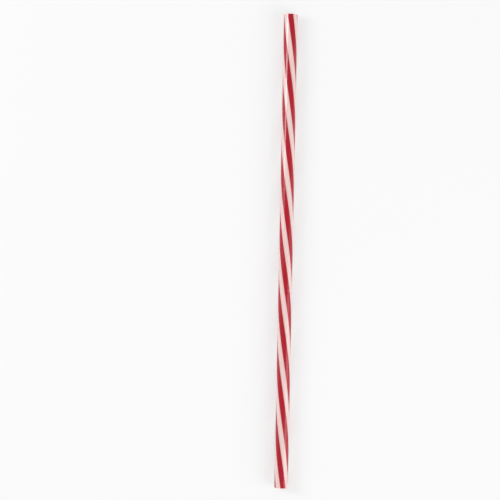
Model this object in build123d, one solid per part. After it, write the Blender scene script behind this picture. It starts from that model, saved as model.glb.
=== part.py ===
from build123d import *
import os

# A stiff plastic drinking straw: one straight tube, extruded from red and white plastic at once.
# The two colours lie side by side in the wall and wind along it as left-handed stripes.
# The straw lies along Y with its underside on z = 0, and the origin is under its middle.
# Lengths are in millimetres and angles in degrees.

# The tube
straw_length = 228.6
outer_diameter = 6.6
wall_thickness = 0.8
lip_rounding = 0.2
largest_lip_share = 0.45  # the most of the wall that each rounding may take

# The stripes
band_pairs = 4
red_band_share = 0.525  # of each red and white pair, measured round the tube
stripe_pitch = 126.2  # along the tube, for one full turn of a stripe
red_angle_at_end = 4.9  # from straight up towards -X to the middle of a red band, at the +Y end

full_turn = 360.0
quarter_turn = full_turn / 4

outer_radius = outer_diameter / 2
bore_radius = outer_radius - wall_thickness
lip_radius = min(lip_rounding, wall_thickness * largest_lip_share)

# The sheets that part the colours run this far past the tube, at its ends and round it
sheet_overrun = wall_thickness
# and their inner edges lie this far from the axis, inside the bore
sheet_inner_radius = bore_radius / 2

pair_angle = full_turn / band_pairs
red_angle = pair_angle * red_band_share


def plain_tube():
    """The tube in one colour, upright about Z, with both rims rounded inside and outside."""
    wall = Pos((bore_radius + outer_radius) / 2, 0) * Rectangle(wall_thickness, straw_length)
    wall = fillet(wall.vertices(), lip_radius)
    # The section starts on +Y, which becomes the underside when the straw is laid down
    return revolve(Plane.YZ * wall, Axis.Z)


def stripe_helix(radius, angle_at_end):
    """A left-handed helix about Z, that passes the tube's top end at the given angle from +X."""
    height = straw_length + 2 * sheet_overrun
    helix = Edge.make_helix(
        pitch=stripe_pitch,
        height=height,
        radius=radius,
        center=(0, 0, -height / 2),
        lefthand=True,
    )
    turned_before_end = full_turn * (straw_length + sheet_overrun) / stripe_pitch
    return helix.rotate(Axis.Z, angle_at_end + turned_before_end)


def colour_boundary(angle_at_end):
    """The twisted sheet where red meets white, from inside the bore to outside the tube."""
    return Face.make_surface_from_curves(
        stripe_helix(sheet_inner_radius, angle_at_end),
        stripe_helix(outer_radius + sheet_overrun, angle_at_end),
    )


def colour_boundaries():
    """Both edges of every red band. Straight up is -Y while the tube is upright about Z."""
    first_middle = -quarter_turn - red_angle_at_end
    sheets = []
    for pair in range(band_pairs):
        middle = first_middle + pair * pair_angle
        sheets.append(colour_boundary(middle - red_angle / 2))
        sheets.append(colour_boundary(middle + red_angle / 2))
    return sheets


def striped_tube():
    """One solid whose skin is parted along the stripes, on the outside, on the rims and in the bore."""
    skin = plain_tube().shell()
    bands = skin.split(Compound(colour_boundaries()), keep=Keep.ALL)
    return Solid(Shell(bands.faces()))


def lying(upright):
    """The upright tube laid down, with its top end at +Y and its underside on z = 0."""
    return Pos(0, 0, outer_radius) * upright.rotate(Axis.X, -quarter_turn)


straw = lying(striped_tube())
straw.label = "straw"

os.makedirs("parts", exist_ok=True)
export_step(straw, "parts/straw.step")
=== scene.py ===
"""A stiff plastic drinking straw with red and white stripes that wind along it, lying on a pale floor.

The frame gives the straw's length and diameter. Everything is in metres, in the row's own frame: the straw
lies along Y with its underside on z = 0, and the origin is under its middle.
"""

import math

import bpy
from bpy.props import (
    FloatProperty,
    FloatVectorProperty,
    IntProperty,
    PointerProperty,
)
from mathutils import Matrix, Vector


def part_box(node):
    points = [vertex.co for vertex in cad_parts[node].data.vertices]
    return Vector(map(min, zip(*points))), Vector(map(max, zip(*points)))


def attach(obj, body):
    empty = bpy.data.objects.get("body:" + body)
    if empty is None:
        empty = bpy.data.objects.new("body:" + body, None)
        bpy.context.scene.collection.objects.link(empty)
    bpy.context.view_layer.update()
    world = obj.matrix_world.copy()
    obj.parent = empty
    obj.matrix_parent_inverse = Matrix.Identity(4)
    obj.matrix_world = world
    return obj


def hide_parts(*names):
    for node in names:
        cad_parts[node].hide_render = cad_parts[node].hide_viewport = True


bl_info = {
    "name": "Striped Drinking Straw",
    "version": (1, 0, 0),
    "blender": (4, 5, 0),
    "location": "3D View > Sidebar > Straw",
    "description": "Makes a striped plastic drinking straw and the pale studio that it lies in",
    "category": "Add Mesh",
}

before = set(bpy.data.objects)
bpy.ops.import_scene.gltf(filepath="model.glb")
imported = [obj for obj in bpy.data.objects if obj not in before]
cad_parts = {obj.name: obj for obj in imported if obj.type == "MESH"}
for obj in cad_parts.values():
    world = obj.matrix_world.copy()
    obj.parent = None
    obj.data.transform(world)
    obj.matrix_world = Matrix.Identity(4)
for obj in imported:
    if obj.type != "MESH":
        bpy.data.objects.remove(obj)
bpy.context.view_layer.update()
straw_low, straw_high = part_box("straw")
CAD_LENGTH = straw_high.y - straw_low.y
CAD_DIAMETER = straw_high.z - straw_low.z

MM = 0.001
FULL_TURN = 2 * math.pi

# How finely the tube is meshed
COLUMNS_PER_BAND = 12
WALL_RINGS = 192
EDGE_RING_STEP = 0.1 * MM  # a ring this close to each rim keeps the long wall's shading straight
LIP_STEPS = 5

# How the skin is laid out flat: the outside and the bore are each cut into lengths that lie side by side
SKIN_MAP = "OFBake"
SKIN_LENGTHS = 3
SKIN_MARGIN = 0.6 * MM
BORE_SHARE_ON_MAP = 0.4  # the bore's width there, as a share of the outside's

# How the streaks in both plastics run: how wide and long they are, and how finely they split
DIE_LINES = {"Width": 0.35 * MM, "Length": 60 * MM, "Detail": 4.0}
RED_SWIRLS = {"Width": 0.7 * MM, "Length": 24 * MM, "Detail": 3.0}
WHITE_SWIRLS = {"Width": 0.9 * MM, "Length": 32 * MM, "Detail": 3.0}
RED_RUBS = {"Mark Width": 0.05 * MM, "Mark Length": 4 * MM, "Patch Size": 12 * MM}
WHITE_RUBS = {"Mark Width": 0.06 * MM, "Mark Length": 5 * MM, "Patch Size": 15 * MM}

# The streak values between which an effect goes from nothing to its full strength
SWIRL_RANGE = (0.35, 0.75)
LINE_RANGE = (0.25, 0.75)
RUB_RANGE = (0.6, 0.72)
PATCH_RANGE = (0.42, 0.62)

# How strongly the finer streaks show among the wide ones
STREAK_ROUGHNESS = 0.55

# How finely rub marks and the patches that they lie in split
RUB_MARK_DETAIL = 1.0
RUB_PATCH_DETAIL = 2.0

# How deep a rub mark is, as a share of a die line's depth
RUB_DEPTH_SHARE = 0.3

# How much of the other plastic's colour there is on the line where the two meet
MEETING_SHARE = 0.5

# How far the colour of both rims is taken towards the deep colour, which makes them a little darker
RIM_DARKENING_SHARE = 0.5

# How both plastics bend light, and how far it goes into them: red light furthest, then green and blue
REFRACTIVE_INDEX = 1.49
LIGHT_REACH = 1 * MM
REACH_SHARES = (1.0, 0.6, 0.5)

# The heights in the surroundings, as shares of straight up, where they start to dim and are dimmest
SKY_DIMS = (0.08, 0.48)

# How far from the origin the floor starts to fade to plain white, and where it has done so
FLOOR_FADE = (0.2, 0.6)

PLAIN_WHITE = (1.0, 1.0, 1.0, 1.0)

# The kinds of socket that the node groups have
NUMBER = "NodeSocketFloat"
VECTOR = "NodeSocketVector"

# The sockets of a mix node that mix colours, by place, as other sockets there have the same names
MIX_FACTOR = 0
MIX_FIRST = 6
MIX_SECOND = 7
MIX_RESULT = 2

# Where the ends of the straw lie in the photo, which is 500 pixels each way
PHOTO_PIXELS = 500
TOP_END_PIXEL = Vector((291.0, 13.5))
LOW_END_PIXEL = Vector((281.2, 488.7))


# Sizes and colours that a user would change


class StrawSizes(bpy.types.PropertyGroup):
    """The sizes of the tube and the lie of its stripes."""

    length: FloatProperty(
        name="Length",
        description="From one cut end to the other",
        default=CAD_LENGTH,
        min=0.02,
        subtype="DISTANCE",
        unit="LENGTH",
    )
    diameter: FloatProperty(
        name="Diameter",
        description="Across the outside of the tube",
        default=CAD_DIAMETER,
        min=0.002,
        subtype="DISTANCE",
        unit="LENGTH",
    )
    wall: FloatProperty(
        name="Wall",
        description="Thickness of the plastic between the outside and the bore",
        default=0.8 * MM,
        min=0.1 * MM,
        subtype="DISTANCE",
        unit="LENGTH",
    )
    lip: FloatProperty(
        name="Lip",
        description="Radius that both edges of each rim are rounded to",
        default=0.2 * MM,
        min=0.01 * MM,
        subtype="DISTANCE",
        unit="LENGTH",
    )
    pairs: IntProperty(
        name="Stripe Pairs",
        description="Red bands, and as many white ones, round the tube",
        default=4,
        min=1,
    )
    red_share: FloatProperty(
        name="Red Share",
        description="How much of each pair of bands is red",
        default=0.525,
        min=0.05,
        max=0.95,
        subtype="FACTOR",
    )
    pitch: FloatProperty(
        name="Stripe Pitch",
        description="Length of straw in which a stripe winds once round it, to the left",
        default=126.2 * MM,
        min=0.005,
        subtype="DISTANCE",
        unit="LENGTH",
    )
    end_angle: FloatProperty(
        name="Red Angle at the End",
        description="At the +Y end, from straight up towards -X to the middle of a red band",
        default=math.radians(4.9),
        subtype="ANGLE",
        unit="ROTATION",
    )


class PlasticLooks(bpy.types.PropertyGroup):
    """The colours, gloss and marks of the two plastics."""

    red: FloatVectorProperty(
        name="Red",
        description="Colour of the red plastic",
        default=(0.48, 0.010, 0.026),
        min=0.0,
        max=1.0,
        size=3,
        subtype="COLOR",
    )
    # Partly the plastic's own colour and partly painted light: its pink stands for red light that scatters
    # into the white plastic from the red bands.
    white: FloatVectorProperty(
        name="White",
        description="Colour of the white plastic",
        default=(0.885, 0.672, 0.648),
        min=0.0,
        max=1.0,
        size=3,
        subtype="COLOR",
    )
    deep_red: FloatVectorProperty(
        name="Deep Red",
        description="Colour of the red plastic where its pigment is thickest",
        default=(0.42, 0.008, 0.021),
        min=0.0,
        max=1.0,
        size=3,
        subtype="COLOR",
    )
    # Pink like the white above: partly painted red light scattered in from the red bands.
    deep_white: FloatVectorProperty(
        name="Deep White",
        description="Colour of the white plastic where its pigment is thickest",
        default=(0.855, 0.637, 0.608),
        min=0.0,
        max=1.0,
        size=3,
        subtype="COLOR",
    )
    roughness: FloatProperty(
        name="Roughness",
        description="Roughness of the moulded skin before its marks",
        default=0.22,
        min=0.05,
        max=1.0,
        subtype="FACTOR",
    )
    roughness_spread: FloatProperty(
        name="Roughness Spread",
        description="How much rougher or smoother the skin is along a die line",
        default=0.05,
        min=0.0,
        max=0.5,
        subtype="FACTOR",
    )
    rub_roughness: FloatProperty(
        name="Rub Roughness",
        description="Roughness that a rub mark adds",
        default=0.14,
        min=0.0,
        max=1.0,
        subtype="FACTOR",
    )
    rim_roughness: FloatProperty(
        name="Rim Roughness",
        description="Roughness that the cut adds on both rims",
        default=0.2,
        min=0.0,
        max=1.0,
        subtype="FACTOR",
    )
    edge_softness: FloatProperty(
        name="Edge Softness",
        description="How far the two plastics run into each other where they meet",
        default=0.14 * MM,
        min=0.001 * MM,
        subtype="DISTANCE",
        unit="LENGTH",
    )
    # Painted glow: the other plastic's colour painted near each stripe's edge, standing for light that
    # scatters through the translucent plastic from the band beside it.
    painted_glow_reach: FloatProperty(
        name="Painted Glow Reach",
        description="How far from a stripe's edge the plastic beside it still tints it",
        default=0.9 * MM,
        min=0.001 * MM,
        subtype="DISTANCE",
        unit="LENGTH",
    )
    # Painted glow of red light on the white plastic near its edges.
    painted_glow_on_white: FloatProperty(
        name="Painted Glow on White",
        description="How strongly the red tints the white plastic beside it",
        default=0.1,
        min=0.0,
        max=1.0,
        subtype="FACTOR",
    )
    # Painted glow of white light on the red plastic near its edges.
    painted_glow_on_red: FloatProperty(
        name="Painted Glow on Red",
        description="How strongly the white tints the red plastic beside it",
        default=0.01,
        min=0.0,
        max=1.0,
        subtype="FACTOR",
    )
    translucency: FloatProperty(
        name="Translucency",
        description="How much of the light goes into the plastic before it comes back",
        default=0.6,
        min=0.0,
        max=1.0,
        subtype="FACTOR",
    )
    die_line_depth: FloatProperty(
        name="Die Line Depth",
        description="Depth of the faint lines that the die leaves along the stripes",
        default=0.006 * MM,
        min=0.0,
        subtype="DISTANCE",
        unit="LENGTH",
    )


class StudioSettings(bpy.types.PropertyGroup):
    """The floor, the surroundings, the two soft lamps and the camera that looks straight down."""

    camera_distance: FloatProperty(
        name="Camera Distance",
        description="From the lens down to the top of the straw",
        default=0.65,
        min=0.1,
        subtype="DISTANCE",
        unit="LENGTH",
    )
    floor_size: FloatProperty(
        name="Floor Size",
        description="Length of each side of the floor",
        default=6.0,
        min=0.5,
        subtype="DISTANCE",
        unit="LENGTH",
    )
    floor_colour: FloatVectorProperty(
        name="Floor",
        description="Colour of the floor",
        default=(0.88, 0.88, 0.88),
        min=0.0,
        max=1.0,
        size=3,
        subtype="COLOR",
    )
    floor_lift: FloatProperty(
        name="Floor Lift",
        description="How far the floor at the straw is taken to plain white, where it is seen or mirrored",
        default=0.55,
        min=0.0,
        max=1.0,
        subtype="FACTOR",
    )
    ceiling: FloatVectorProperty(
        name="Ceiling",
        description="Colour of the surroundings overhead, where they are seen or mirrored",
        default=(0.25, 0.25, 0.25),
        min=0.0,
        max=1.0,
        size=3,
        subtype="COLOR",
    )
    fill: FloatProperty(
        name="Fill",
        description="Strength of the even light that the surroundings give",
        default=0.64,
        min=0.0,
    )
    lamp_distance: FloatProperty(
        name="Lamp Distance",
        description="From the straw's axis to each lamp",
        default=1.0,
        min=0.1,
        subtype="DISTANCE",
        unit="LENGTH",
    )
    left_power: FloatProperty(
        name="Left Lamp",
        description="Power of the soft lamp on the left",
        default=3.9,
        min=0.0,
        unit="POWER",
    )
    left_lean: FloatProperty(
        name="Left Lean",
        description="How far the left lamp is from straight overhead",
        default=math.radians(54),
        subtype="ANGLE",
        unit="ROTATION",
    )
    left_size: FloatVectorProperty(
        name="Left Size",
        description="Width and length of the left lamp, the length along the straw",
        default=(0.4, 0.26),
        min=0.01,
        size=2,
        unit="LENGTH",
    )
    left_along: FloatProperty(
        name="Left Place",
        description="Where along the straw the middle of the left lamp is",
        default=0.24,
        subtype="DISTANCE",
        unit="LENGTH",
    )
    right_power: FloatProperty(
        name="Right Lamp",
        description="Power of the soft lamp on the right",
        default=6.0,
        min=0.0,
        unit="POWER",
    )
    right_lean: FloatProperty(
        name="Right Lean",
        description="How far the right lamp is from straight overhead",
        default=math.radians(58),
        subtype="ANGLE",
        unit="ROTATION",
    )
    right_size: FloatVectorProperty(
        name="Right Size",
        description="Width and length of the right lamp, the length along the straw",
        default=(0.6, 1.0),
        min=0.01,
        size=2,
        unit="LENGTH",
    )
    right_along: FloatProperty(
        name="Right Place",
        description="Where along the straw the middle of the right lamp is",
        default=-0.52,
        subtype="DISTANCE",
        unit="LENGTH",
    )


# Small helpers for meshes and nodes


def new_mesh_object(name, corners, faces, materials, slots=()):
    """An object at the origin with the given corners, faces, materials and slot of each face."""
    mesh = bpy.data.meshes.new(name)
    mesh.from_pydata(corners, [], faces)
    for material in materials:
        mesh.materials.append(material)
    if slots:
        mesh.polygons.foreach_set("material_index", slots)
    mesh.update()
    piece = bpy.data.objects.new(name, mesh)
    bpy.context.scene.collection.objects.link(piece)
    return piece


def add_node(tree, kind, inputs=(), **settings):
    """A new node with its settings made and its inputs set to values or linked to other sockets."""
    node = tree.nodes.new(kind)
    for name, value in settings.items():
        setattr(node, name, value)
    for key, value in dict(inputs).items():
        if isinstance(value, bpy.types.NodeSocket):
            tree.links.new(value, node.inputs[key])
        else:
            node.inputs[key].default_value = value
    return node


def add_math(tree, operation, *values, clamp=False):
    """The result of a math node over numbers or sockets."""
    node = add_node(tree, "ShaderNodeMath", enumerate(values), operation=operation, use_clamp=clamp)
    return node.outputs[0]


def add_length(tree, vector):
    """The length of a vector."""
    return add_node(tree, "ShaderNodeVectorMath", {0: vector}, operation="LENGTH").outputs["Value"]


def add_ramp(tree, value, start, end, low=0.0, high=1.0):
    """A value taken smoothly from low to high as another goes from start to end."""
    node = add_node(
        tree,
        "ShaderNodeMapRange",
        {"Value": value, "From Min": start, "From Max": end, "To Min": low, "To Max": high},
        interpolation_type="SMOOTHSTEP",
    )
    return node.outputs["Result"]


def add_colour_mix(tree, factor, first, second):
    """The first colour taken towards the second by a factor."""
    inputs = {MIX_FACTOR: factor, MIX_FIRST: first, MIX_SECOND: second}
    node = add_node(tree, "ShaderNodeMix", inputs, data_type="RGBA", blend_type="MIX")
    return node.outputs[MIX_RESULT]


def opaque(colour):
    """A colour of three numbers with full alpha."""
    return (*colour, 1.0)


def new_group(name, inputs, outputs):
    """A shader node group from the names and kinds of its sockets; returns its tree and both ends."""
    tree = bpy.data.node_groups.new(name, "ShaderNodeTree")
    for direction, sockets in (("INPUT", inputs), ("OUTPUT", outputs)):
        for socket, kind in sockets.items():
            tree.interface.new_socket(name=socket, in_out=direction, socket_type=kind)
    return tree, tree.nodes.new("NodeGroupInput").outputs, tree.nodes.new("NodeGroupOutput").inputs


def place_group(tree, group, inputs):
    """A group placed in a material or another group with its own values; returns its outputs."""
    return add_node(tree, "ShaderNodeGroup", inputs, node_tree=group).outputs


# Effects that both plastics use


def make_unwound_group():
    """Where a point lies once the stripes are unwound: its angle from a red band's middle, and its place."""
    tree, given, result = new_group(
        "Unwound Straw",
        {"Length": NUMBER, "Diameter": NUMBER, "Pitch": NUMBER, "End Angle": NUMBER},
        {"Around": NUMBER, "Along": NUMBER, "Radius": NUMBER, "Straight Position": VECTOR},
    )
    position = add_node(tree, "ShaderNodeTexCoord").outputs["Object"]
    place = add_node(tree, "ShaderNodeSeparateXYZ", {"Vector": position}).outputs
    axis_height = add_math(tree, "MULTIPLY", given["Diameter"], 0.5)
    above_axis = add_math(tree, "SUBTRACT", place["Z"], axis_height)
    angle = add_math(tree, "ARCTAN2", place["X"], above_axis)
    from_end = add_math(tree, "SUBTRACT", add_math(tree, "MULTIPLY", given["Length"], 0.5), place["Y"])
    turns = add_math(tree, "DIVIDE", from_end, given["Pitch"])
    wound = add_math(tree, "SUBTRACT", add_math(tree, "MULTIPLY", turns, FULL_TURN), given["End Angle"])
    around = add_math(tree, "SUBTRACT", angle, wound)
    flat = add_node(tree, "ShaderNodeCombineXYZ", {"X": place["X"], "Y": above_axis})
    radius = add_length(tree, flat.outputs[0])
    across = add_math(tree, "MULTIPLY", radius, add_math(tree, "SINE", around))
    up = add_math(tree, "MULTIPLY", radius, add_math(tree, "COSINE", around))
    straight = add_node(tree, "ShaderNodeCombineXYZ", {"X": across, "Y": place["Y"], "Z": up})
    tree.links.new(around, result["Around"])
    tree.links.new(place["Y"], result["Along"])
    tree.links.new(radius, result["Radius"])
    tree.links.new(straight.outputs[0], result["Straight Position"])
    return tree


def make_stripe_edge_group():
    """How near a point is to where red meets white: 1 on the line, 0 from Reach away."""
    tree, given, result = new_group(
        "Stripe Edge",
        {"Around": NUMBER, "Radius": NUMBER, "Pairs": NUMBER, "Red Share": NUMBER, "Reach": NUMBER},
        {"Nearness": NUMBER},
    )
    pair_angle = add_math(tree, "DIVIDE", FULL_TURN, given["Pairs"])
    pairs_away = add_math(tree, "PINGPONG", add_math(tree, "DIVIDE", given["Around"], pair_angle), 0.5)
    half_red = add_math(tree, "MULTIPLY", given["Red Share"], 0.5)
    off_edge = add_math(tree, "ABSOLUTE", add_math(tree, "SUBTRACT", pairs_away, half_red))
    length = add_math(tree, "MULTIPLY", add_math(tree, "MULTIPLY", off_edge, pair_angle), given["Radius"])
    tree.links.new(add_ramp(tree, length, 0.0, given["Reach"], 1.0, 0.0), result["Nearness"])
    return tree


def make_streaks_group():
    """Streaks drawn out along the straw, such as die lines or swirls of pigment, as a value from 0 to 1."""
    tree, given, result = new_group(
        "Drawn Streaks",
        {"Position": VECTOR, "Width": NUMBER, "Length": NUMBER, "Detail": NUMBER},
        {"Streak": NUMBER},
    )
    across = add_math(tree, "DIVIDE", 1.0, given["Width"])
    along = add_math(tree, "DIVIDE", 1.0, given["Length"])
    scale = add_node(tree, "ShaderNodeCombineXYZ", {"X": across, "Y": along, "Z": across})
    scaled = add_node(
        tree,
        "ShaderNodeVectorMath",
        {0: given["Position"], 1: scale.outputs[0]},
        operation="MULTIPLY",
    )
    noise = add_node(
        tree,
        "ShaderNodeTexNoise",
        {
            "Vector": scaled.outputs[0],
            "Scale": 1.0,
            "Detail": given["Detail"],
            "Roughness": STREAK_ROUGHNESS,
        },
        noise_dimensions="3D",
    )
    tree.links.new(noise.outputs["Fac"], result["Streak"])
    return tree


def make_rub_group(streaks):
    """Fine rub marks from handling, gathered in patches, as a mask."""
    tree, given, result = new_group(
        "Rub Marks",
        {"Mark Width": NUMBER, "Mark Length": NUMBER, "Patch Size": NUMBER},
        {"Mask": NUMBER},
    )
    position = {"Position": add_node(tree, "ShaderNodeTexCoord").outputs["Object"]}
    mark = {"Width": given["Mark Width"], "Length": given["Mark Length"], "Detail": RUB_MARK_DETAIL}
    patch = {"Width": given["Patch Size"], "Length": given["Patch Size"], "Detail": RUB_PATCH_DETAIL}
    marks = place_group(tree, streaks, {**position, **mark})["Streak"]
    patches = place_group(tree, streaks, {**position, **patch})["Streak"]
    thin = add_ramp(tree, marks, *RUB_RANGE)
    where = add_ramp(tree, patches, *PATCH_RANGE)
    tree.links.new(add_math(tree, "MULTIPLY", thin, where), result["Mask"])
    return tree


def make_cut_rim_group():
    """Where the plastic was cut: 0 on the walls, rising over Depth to 1 on the end faces."""
    tree, given, result = new_group(
        "Cut Rim",
        {"Along": NUMBER, "Length": NUMBER, "Depth": NUMBER},
        {"Mask": NUMBER},
    )
    to_middle = add_math(tree, "ABSOLUTE", given["Along"])
    half = add_math(tree, "MULTIPLY", given["Length"], 0.5)
    start = add_math(tree, "SUBTRACT", half, given["Depth"])
    tree.links.new(add_ramp(tree, to_middle, start, half), result["Mask"])
    return tree


def make_effects():
    """Every shared effect, built once."""
    streaks = make_streaks_group()
    return {
        "unwound": make_unwound_group(),
        "edge": make_stripe_edge_group(),
        "streaks": streaks,
        "rubs": make_rub_group(streaks),
        "rim": make_cut_rim_group(),
    }


# The two plastics


def make_plastic(name, colours, painted_glow_share, swirls, rubs, sizes, looks, effects):
    """A moulded plastic whose pigment swirls along the stripes and runs into the other at their edges.

    colours are its own, the one where its pigment is thickest and that of the plastic beside it. The next
    argument is how strongly that one is painted on near the edges, a painted glow of light that scatters in
    from it through the plastic. swirls and rubs are inputs of the groups of those names.
    """
    material = bpy.data.materials.new(name)
    material.use_nodes = True
    tree = material.node_tree
    tree.nodes.clear()
    own, deep, beside = (opaque(colour) for colour in colours)
    skin = place_group(
        tree,
        effects["unwound"],
        {
            "Length": sizes.length,
            "Diameter": sizes.diameter,
            "Pitch": sizes.pitch,
            "End Angle": sizes.end_angle,
        },
    )
    stripe = {
        "Around": skin["Around"],
        "Radius": skin["Radius"],
        "Pairs": sizes.pairs,
        "Red Share": sizes.red_share,
    }
    meeting = place_group(tree, effects["edge"], {**stripe, "Reach": looks.edge_softness})["Nearness"]
    # Painted glow: nearness to a stripe's edge over a wider reach, where the colour of the plastic beside it
    # is painted on as light that scatters in through the wall.
    painted_glow_nearness = place_group(tree, effects["edge"], {**stripe, "Reach": looks.painted_glow_reach})["Nearness"]
    position = {"Position": skin["Straight Position"]}
    swirl = place_group(tree, effects["streaks"], {**position, **swirls})["Streak"]
    line = place_group(tree, effects["streaks"], {**position, **DIE_LINES})["Streak"]
    rubbed = place_group(tree, effects["rubs"], rubs)["Mask"]
    rim = {"Along": skin["Along"], "Length": sizes.length, "Depth": sizes.lip}
    cut = place_group(tree, effects["rim"], rim)["Mask"]

    colour = add_colour_mix(tree, add_ramp(tree, swirl, *SWIRL_RANGE), own, deep)
    # Painted glow of the plastic beside it, near the edges.
    colour = add_colour_mix(tree, add_math(tree, "MULTIPLY", painted_glow_nearness, painted_glow_share), colour, beside)
    colour = add_colour_mix(tree, add_math(tree, "MULTIPLY", meeting, MEETING_SHARE), colour, beside)
    # Both rims are taken towards the deep colour, a little darker than the walls.
    colour = add_colour_mix(tree, add_math(tree, "MULTIPLY", cut, RIM_DARKENING_SHARE), colour, deep)

    smoothest = looks.roughness - looks.roughness_spread
    roughest = looks.roughness + looks.roughness_spread
    rough = add_ramp(tree, line, *LINE_RANGE, smoothest, roughest)
    rough = add_math(tree, "MULTIPLY_ADD", rubbed, looks.rub_roughness, rough)
    rough = add_math(tree, "MULTIPLY_ADD", cut, looks.rim_roughness, rough, clamp=True)
    height = add_math(tree, "MULTIPLY_ADD", rubbed, -RUB_DEPTH_SHARE, line)
    bump = add_node(tree, "ShaderNodeBump", {"Height": height, "Distance": looks.die_line_depth})
    shader = add_node(
        tree,
        "ShaderNodeBsdfPrincipled",
        {
            "Base Color": colour,
            "Roughness": rough,
            "Normal": bump.outputs["Normal"],
            "IOR": REFRACTIVE_INDEX,
            "Subsurface Weight": looks.translucency,
            "Subsurface Radius": REACH_SHARES,
            "Subsurface Scale": LIGHT_REACH,
        },
    )
    add_node(tree, "ShaderNodeOutputMaterial", {"Surface": shader.outputs[0]})
    return material


# The tube


def column_angles(sizes):
    """The angle from a red band's middle at which each column of faces starts, and the column's slot."""
    pair_angle = FULL_TURN / sizes.pairs
    red_angle = pair_angle * sizes.red_share
    angles, slots = [], []
    for pair in range(sizes.pairs):
        start = pair * pair_angle - red_angle / 2
        for slot, width in enumerate((red_angle, pair_angle - red_angle)):
            for step in range(COLUMNS_PER_BAND):
                angles.append(start + width * step / COLUMNS_PER_BAND)
                slots.append(slot)
            start += width
    return angles, slots


def wall_stops(reach):
    """Places along the straight wall, from -reach to reach, with one more ring close to each rim."""
    even = reach - EDGE_RING_STEP
    steps = [even * (2 * ring / WALL_RINGS - 1) for ring in range(WALL_RINGS + 1)]
    return [-reach, *steps, reach]


def tube_profile(sizes):
    """The wall's section as radius and place along: out over the outside and its rims, back in the bore."""
    half = sizes.length / 2
    outer = sizes.diameter / 2
    bore = outer - sizes.wall
    reach = half - sizes.lip
    if bore <= sizes.lip or sizes.wall <= 2 * sizes.lip or reach <= EDGE_RING_STEP:
        raise ValueError("the wall, the lip and the length leave no room for the tube")
    turns = [math.pi / 2 * step / LIP_STEPS for step in range(1, LIP_STEPS + 1)]
    rounding = [(sizes.lip * math.cos(turn), sizes.lip * math.sin(turn)) for turn in turns]
    outside = [(outer - sizes.lip + across, reach + along) for across, along in rounding]
    inside = [(bore + sizes.lip - across, reach + along) for across, along in rounding]
    rim = outside + inside[::-1]
    far_rim = [(radius, -along) for radius, along in reversed(rim)]
    stops = wall_stops(reach)
    out = [(bore, stops[0]), *far_rim, *((outer, stop) for stop in stops), *rim]
    back = [(bore, stop) for stop in stops[:0:-1]]
    return out, back


def tube_corner(radius, along, angle, sizes):
    """A point of the tube, at an angle from a red band's middle that winds with the stripes."""
    wound = angle - sizes.end_angle + FULL_TURN * (sizes.length / 2 - along) / sizes.pitch
    return (radius * math.sin(wound), along, sizes.diameter / 2 + radius * math.cos(wound))


def flat_places(strip, map_width, first_left):
    """Where each row of a strip lies on the flat skin: its left side, and its two ends along the straw.

    The strip is cut into lengths, which lie side by side, each map_width wide.
    """
    ends = [0.0]
    for (radius, along), (next_radius, next_along) in zip(strip, strip[1:]):
        ends.append(ends[-1] + math.hypot(next_radius - radius, next_along - along))
    cut_length = ends[-1] / SKIN_LENGTHS
    places = []
    for start, end in zip(ends, ends[1:]):
        number = int((start + end) / 2 / cut_length)
        left = first_left + number * (map_width + SKIN_MARGIN)
        places.append((left, start - number * cut_length, end - number * cut_length))
    return places


def lay_skin_flat(mesh, out, back, shares, sizes):
    """Gives the mesh its flat map: the outside in full width and the bore narrower, beside each other."""
    outside_width = math.pi * sizes.diameter
    bore_width = outside_width * BORE_SHARE_ON_MAP
    margin = 2 * SKIN_MARGIN
    bore_left = margin + SKIN_LENGTHS * (outside_width + SKIN_MARGIN)
    rows = [(outside_width, *place) for place in flat_places([*out, back[0]], outside_width, margin)]
    rows += [(bore_width, *place) for place in flat_places([*back, out[0]], bore_width, bore_left)]
    side = bore_left + SKIN_LENGTHS * (bore_width + SKIN_MARGIN) + margin
    corners = []
    for width, left, start, end in rows:
        for share, next_share in zip(shares, shares[1:]):
            for across, along in ((share, start), (next_share, start), (next_share, end), (share, end)):
                corners += [(left + across * width) / side, (margin + along) / side]
    mesh.uv_layers.new(name=SKIN_MAP).uv.foreach_set("vector", corners)


def make_tube(sizes, materials):
    """The striped tube. Its columns of faces wind with the stripes, so the two colours meet on edges."""
    angles, column_slots = column_angles(sizes)
    out, back = tube_profile(sizes)
    profile = out + back
    columns = len(angles)
    corners = [tube_corner(radius, along, angle, sizes) for radius, along in profile for angle in angles]
    faces, slots = [], []
    for row in range(len(profile)):
        this_ring = row * columns
        next_ring = (row + 1) % len(profile) * columns
        for column, slot in enumerate(column_slots):
            beside = (column + 1) % columns
            faces.append((this_ring + column, this_ring + beside, next_ring + beside, next_ring + column))
            slots.append(slot)
    tube = new_mesh_object("striped_tube", corners, faces, materials, slots)
    shares = [(angle - angles[0]) / FULL_TURN for angle in angles] + [1.0]
    lay_skin_flat(tube.data, out, back, shares, sizes)
    tube.data.shade_smooth()
    return tube


# The studio


def add_seen_or_mirrored(tree):
    """1 for rays that show a thing to the camera, straight, mirrored or through glass, or else 0."""
    path = add_node(tree, "ShaderNodeLightPath").outputs
    either = add_math(tree, "MAXIMUM", path["Is Camera Ray"], path["Is Glossy Ray"])
    return add_math(tree, "MAXIMUM", either, path["Is Transmission Ray"])


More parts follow.
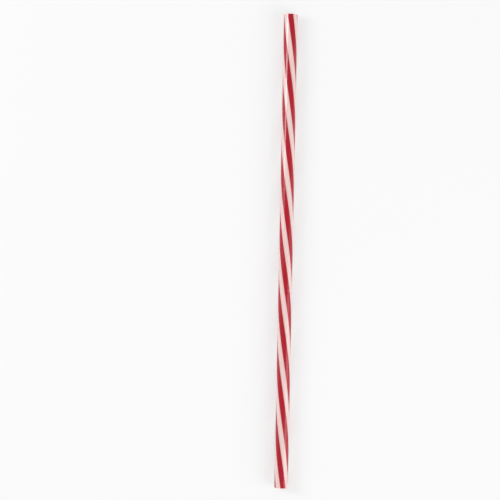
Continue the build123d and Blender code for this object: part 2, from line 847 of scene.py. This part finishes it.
def make_floor(studio):
    """A pale floor that takes the straw's shadow, and fades to plain white away from it."""
    material = bpy.data.materials.new("pale floor")
    material.use_nodes = True
    tree = material.node_tree
    tree.nodes.clear()
    place = add_node(tree, "ShaderNodeTexCoord").outputs["Object"]
    lift = add_ramp(tree, add_length(tree, place), *FLOOR_FADE, studio.floor_lift, 1.0)
    lift = add_math(tree, "MULTIPLY", add_seen_or_mirrored(tree), lift)
    paint = add_node(tree, "ShaderNodeBsdfDiffuse", {"Color": opaque(studio.floor_colour)})
    white = add_node(tree, "ShaderNodeEmission", {"Color": PLAIN_WHITE, "Strength": 1.0})
    both = add_node(tree, "ShaderNodeMixShader", {0: lift, 1: paint.outputs[0], 2: white.outputs[0]})
    add_node(tree, "ShaderNodeOutputMaterial", {"Surface": both.outputs[0]})
    half = studio.floor_size / 2
    corners = [(-half, -half, 0.0), (half, -half, 0.0), (half, half, 0.0), (-half, half, 0.0)]
    return new_mesh_object("floor", corners, [(0, 1, 2, 3)], [material])


def light_the_world(studio):
    """Surroundings that give an even light, and are seen or mirrored as white that dims overhead."""
    world = bpy.data.worlds.new("soft studio")
    bpy.context.scene.world = world
    world.use_nodes = True
    tree = world.node_tree
    tree.nodes.clear()
    direction = add_node(tree, "ShaderNodeTexCoord").outputs["Generated"]
    height = add_node(tree, "ShaderNodeSeparateXYZ", {"Vector": direction}).outputs["Z"]
    overhead = add_ramp(tree, height, *SKY_DIMS)
    seen = add_colour_mix(tree, overhead, PLAIN_WHITE, opaque(studio.ceiling))
    light = opaque([studio.fill] * 3)
    colour = add_colour_mix(tree, add_seen_or_mirrored(tree), light, seen)
    sky = add_node(tree, "ShaderNodeBackground", {"Color": colour, "Strength": 1.0})
    add_node(tree, "ShaderNodeOutputWorld", {"Surface": sky.outputs[0]})


def add_soft_lamp(name, power, lean, size, along, distance):
    """A soft lamp beside the straw, turned to its axis: lean is from straight up towards +X."""
    lamp = bpy.data.lights.new(name, "AREA")
    lamp.shape = "RECTANGLE"
    lamp.size, lamp.size_y = size
    lamp.energy = power
    holder = bpy.data.objects.new(name, lamp)
    holder.location = (distance * math.sin(lean), along, distance * math.cos(lean))
    holder.rotation_euler = (0.0, lean, 0.0)
    holder.visible_camera = False
    bpy.context.scene.collection.objects.link(holder)


def place_camera(sizes, studio):
    """Looks straight down, turned and placed so that the straw's ends lie on the photo's two pixels."""
    top, low = TOP_END_PIXEL, LOW_END_PIXEL
    lean = math.atan2(top.x - low.x, low.y - top.y)
    pixel = sizes.length / (top - low).length
    middle = (top + low) / 2
    right = (middle.x - PHOTO_PIXELS / 2) * pixel
    up = (PHOTO_PIXELS / 2 - middle.y) * pixel
    lens = bpy.data.cameras.new("camera")
    lens.lens = lens.sensor_width * studio.camera_distance / (PHOTO_PIXELS * pixel)
    camera = bpy.data.objects.new("camera", lens)
    camera.location = (
        -right * math.cos(lean) + up * math.sin(lean),
        -right * math.sin(lean) - up * math.cos(lean),
        studio.camera_distance + sizes.diameter,
    )
    camera.rotation_euler = (0.0, 0.0, lean)
    bpy.context.scene.collection.objects.link(camera)
    bpy.context.scene.camera = camera


# Operators, the panel and the run


class STRAW_OT_striped_tube(bpy.types.Operator):
    """Make the striped plastic tube in the place of the plain one"""

    bl_idname = "straw.striped_tube"
    bl_label = "Striped Tube"

    def execute(self, context):
        sizes = context.scene.straw_sizes
        looks = context.scene.straw_looks
        effects = make_effects()
        red_colours = (looks.red, looks.deep_red, looks.white)
        white_colours = (looks.white, looks.deep_white, looks.red)
        shared = (sizes, looks, effects)
        # Each plastic gets a painted glow of the other's colour near the stripes' edges, by these shares.
        red = make_plastic("red plastic", red_colours, looks.painted_glow_on_red, RED_SWIRLS, RED_RUBS, *shared)
        white = make_plastic(
            "white plastic", white_colours, looks.painted_glow_on_white, WHITE_SWIRLS, WHITE_RUBS, *shared
        )
        tube = make_tube(sizes, (red, white))
        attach(tube, "root")
        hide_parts("straw")
        return {"FINISHED"}


class STRAW_OT_studio(bpy.types.Operator):
    """Make the pale floor, the soft lamps and the camera"""

    bl_idname = "straw.studio"
    bl_label = "Studio"

    def execute(self, context):
        sizes = context.scene.straw_sizes
        studio = context.scene.straw_studio
        make_floor(studio)
        light_the_world(studio)
        for name, power, lean, size, along in (
            ("left lamp", studio.left_power, -studio.left_lean, studio.left_size, studio.left_along),
            ("right lamp", studio.right_power, studio.right_lean, studio.right_size, studio.right_along),
        ):
            add_soft_lamp(name, power, lean, size, along, studio.lamp_distance)
        place_camera(sizes, studio)
        context.scene.view_settings.view_transform = "Standard"
        return {"FINISHED"}


class STRAW_PT_straw(bpy.types.Panel):
    """The straw's sizes, looks and studio, with a button for each step"""

    bl_label = "Drinking Straw"
    bl_space_type = "VIEW_3D"
    bl_region_type = "UI"
    bl_category = "Straw"

    def draw(self, context):
        steps = (
            (context.scene.straw_sizes, STRAW_OT_striped_tube),
            (context.scene.straw_looks, None),
            (context.scene.straw_studio, STRAW_OT_studio),
        )
        for settings, step in steps:
            box = self.layout.box()
            for name in settings.__annotations__:
                box.prop(settings, name)
            if step:
                box.operator(step.bl_idname)


CLASSES = (
    StrawSizes,
    PlasticLooks,
    StudioSettings,
    STRAW_OT_striped_tube,
    STRAW_OT_studio,
    STRAW_PT_straw,
)


def register():
    for made in CLASSES:
        bpy.utils.register_class(made)
    bpy.types.Scene.straw_sizes = PointerProperty(type=StrawSizes)
    bpy.types.Scene.straw_looks = PointerProperty(type=PlasticLooks)
    bpy.types.Scene.straw_studio = PointerProperty(type=StudioSettings)


def unregister():
    del bpy.types.Scene.straw_studio
    del bpy.types.Scene.straw_looks
    del bpy.types.Scene.straw_sizes
    for made in reversed(CLASSES):
        bpy.utils.unregister_class(made)


def main():
    register()
    bpy.ops.straw.striped_tube()
    bpy.ops.straw.studio()


if __name__ == "__main__":
    main()
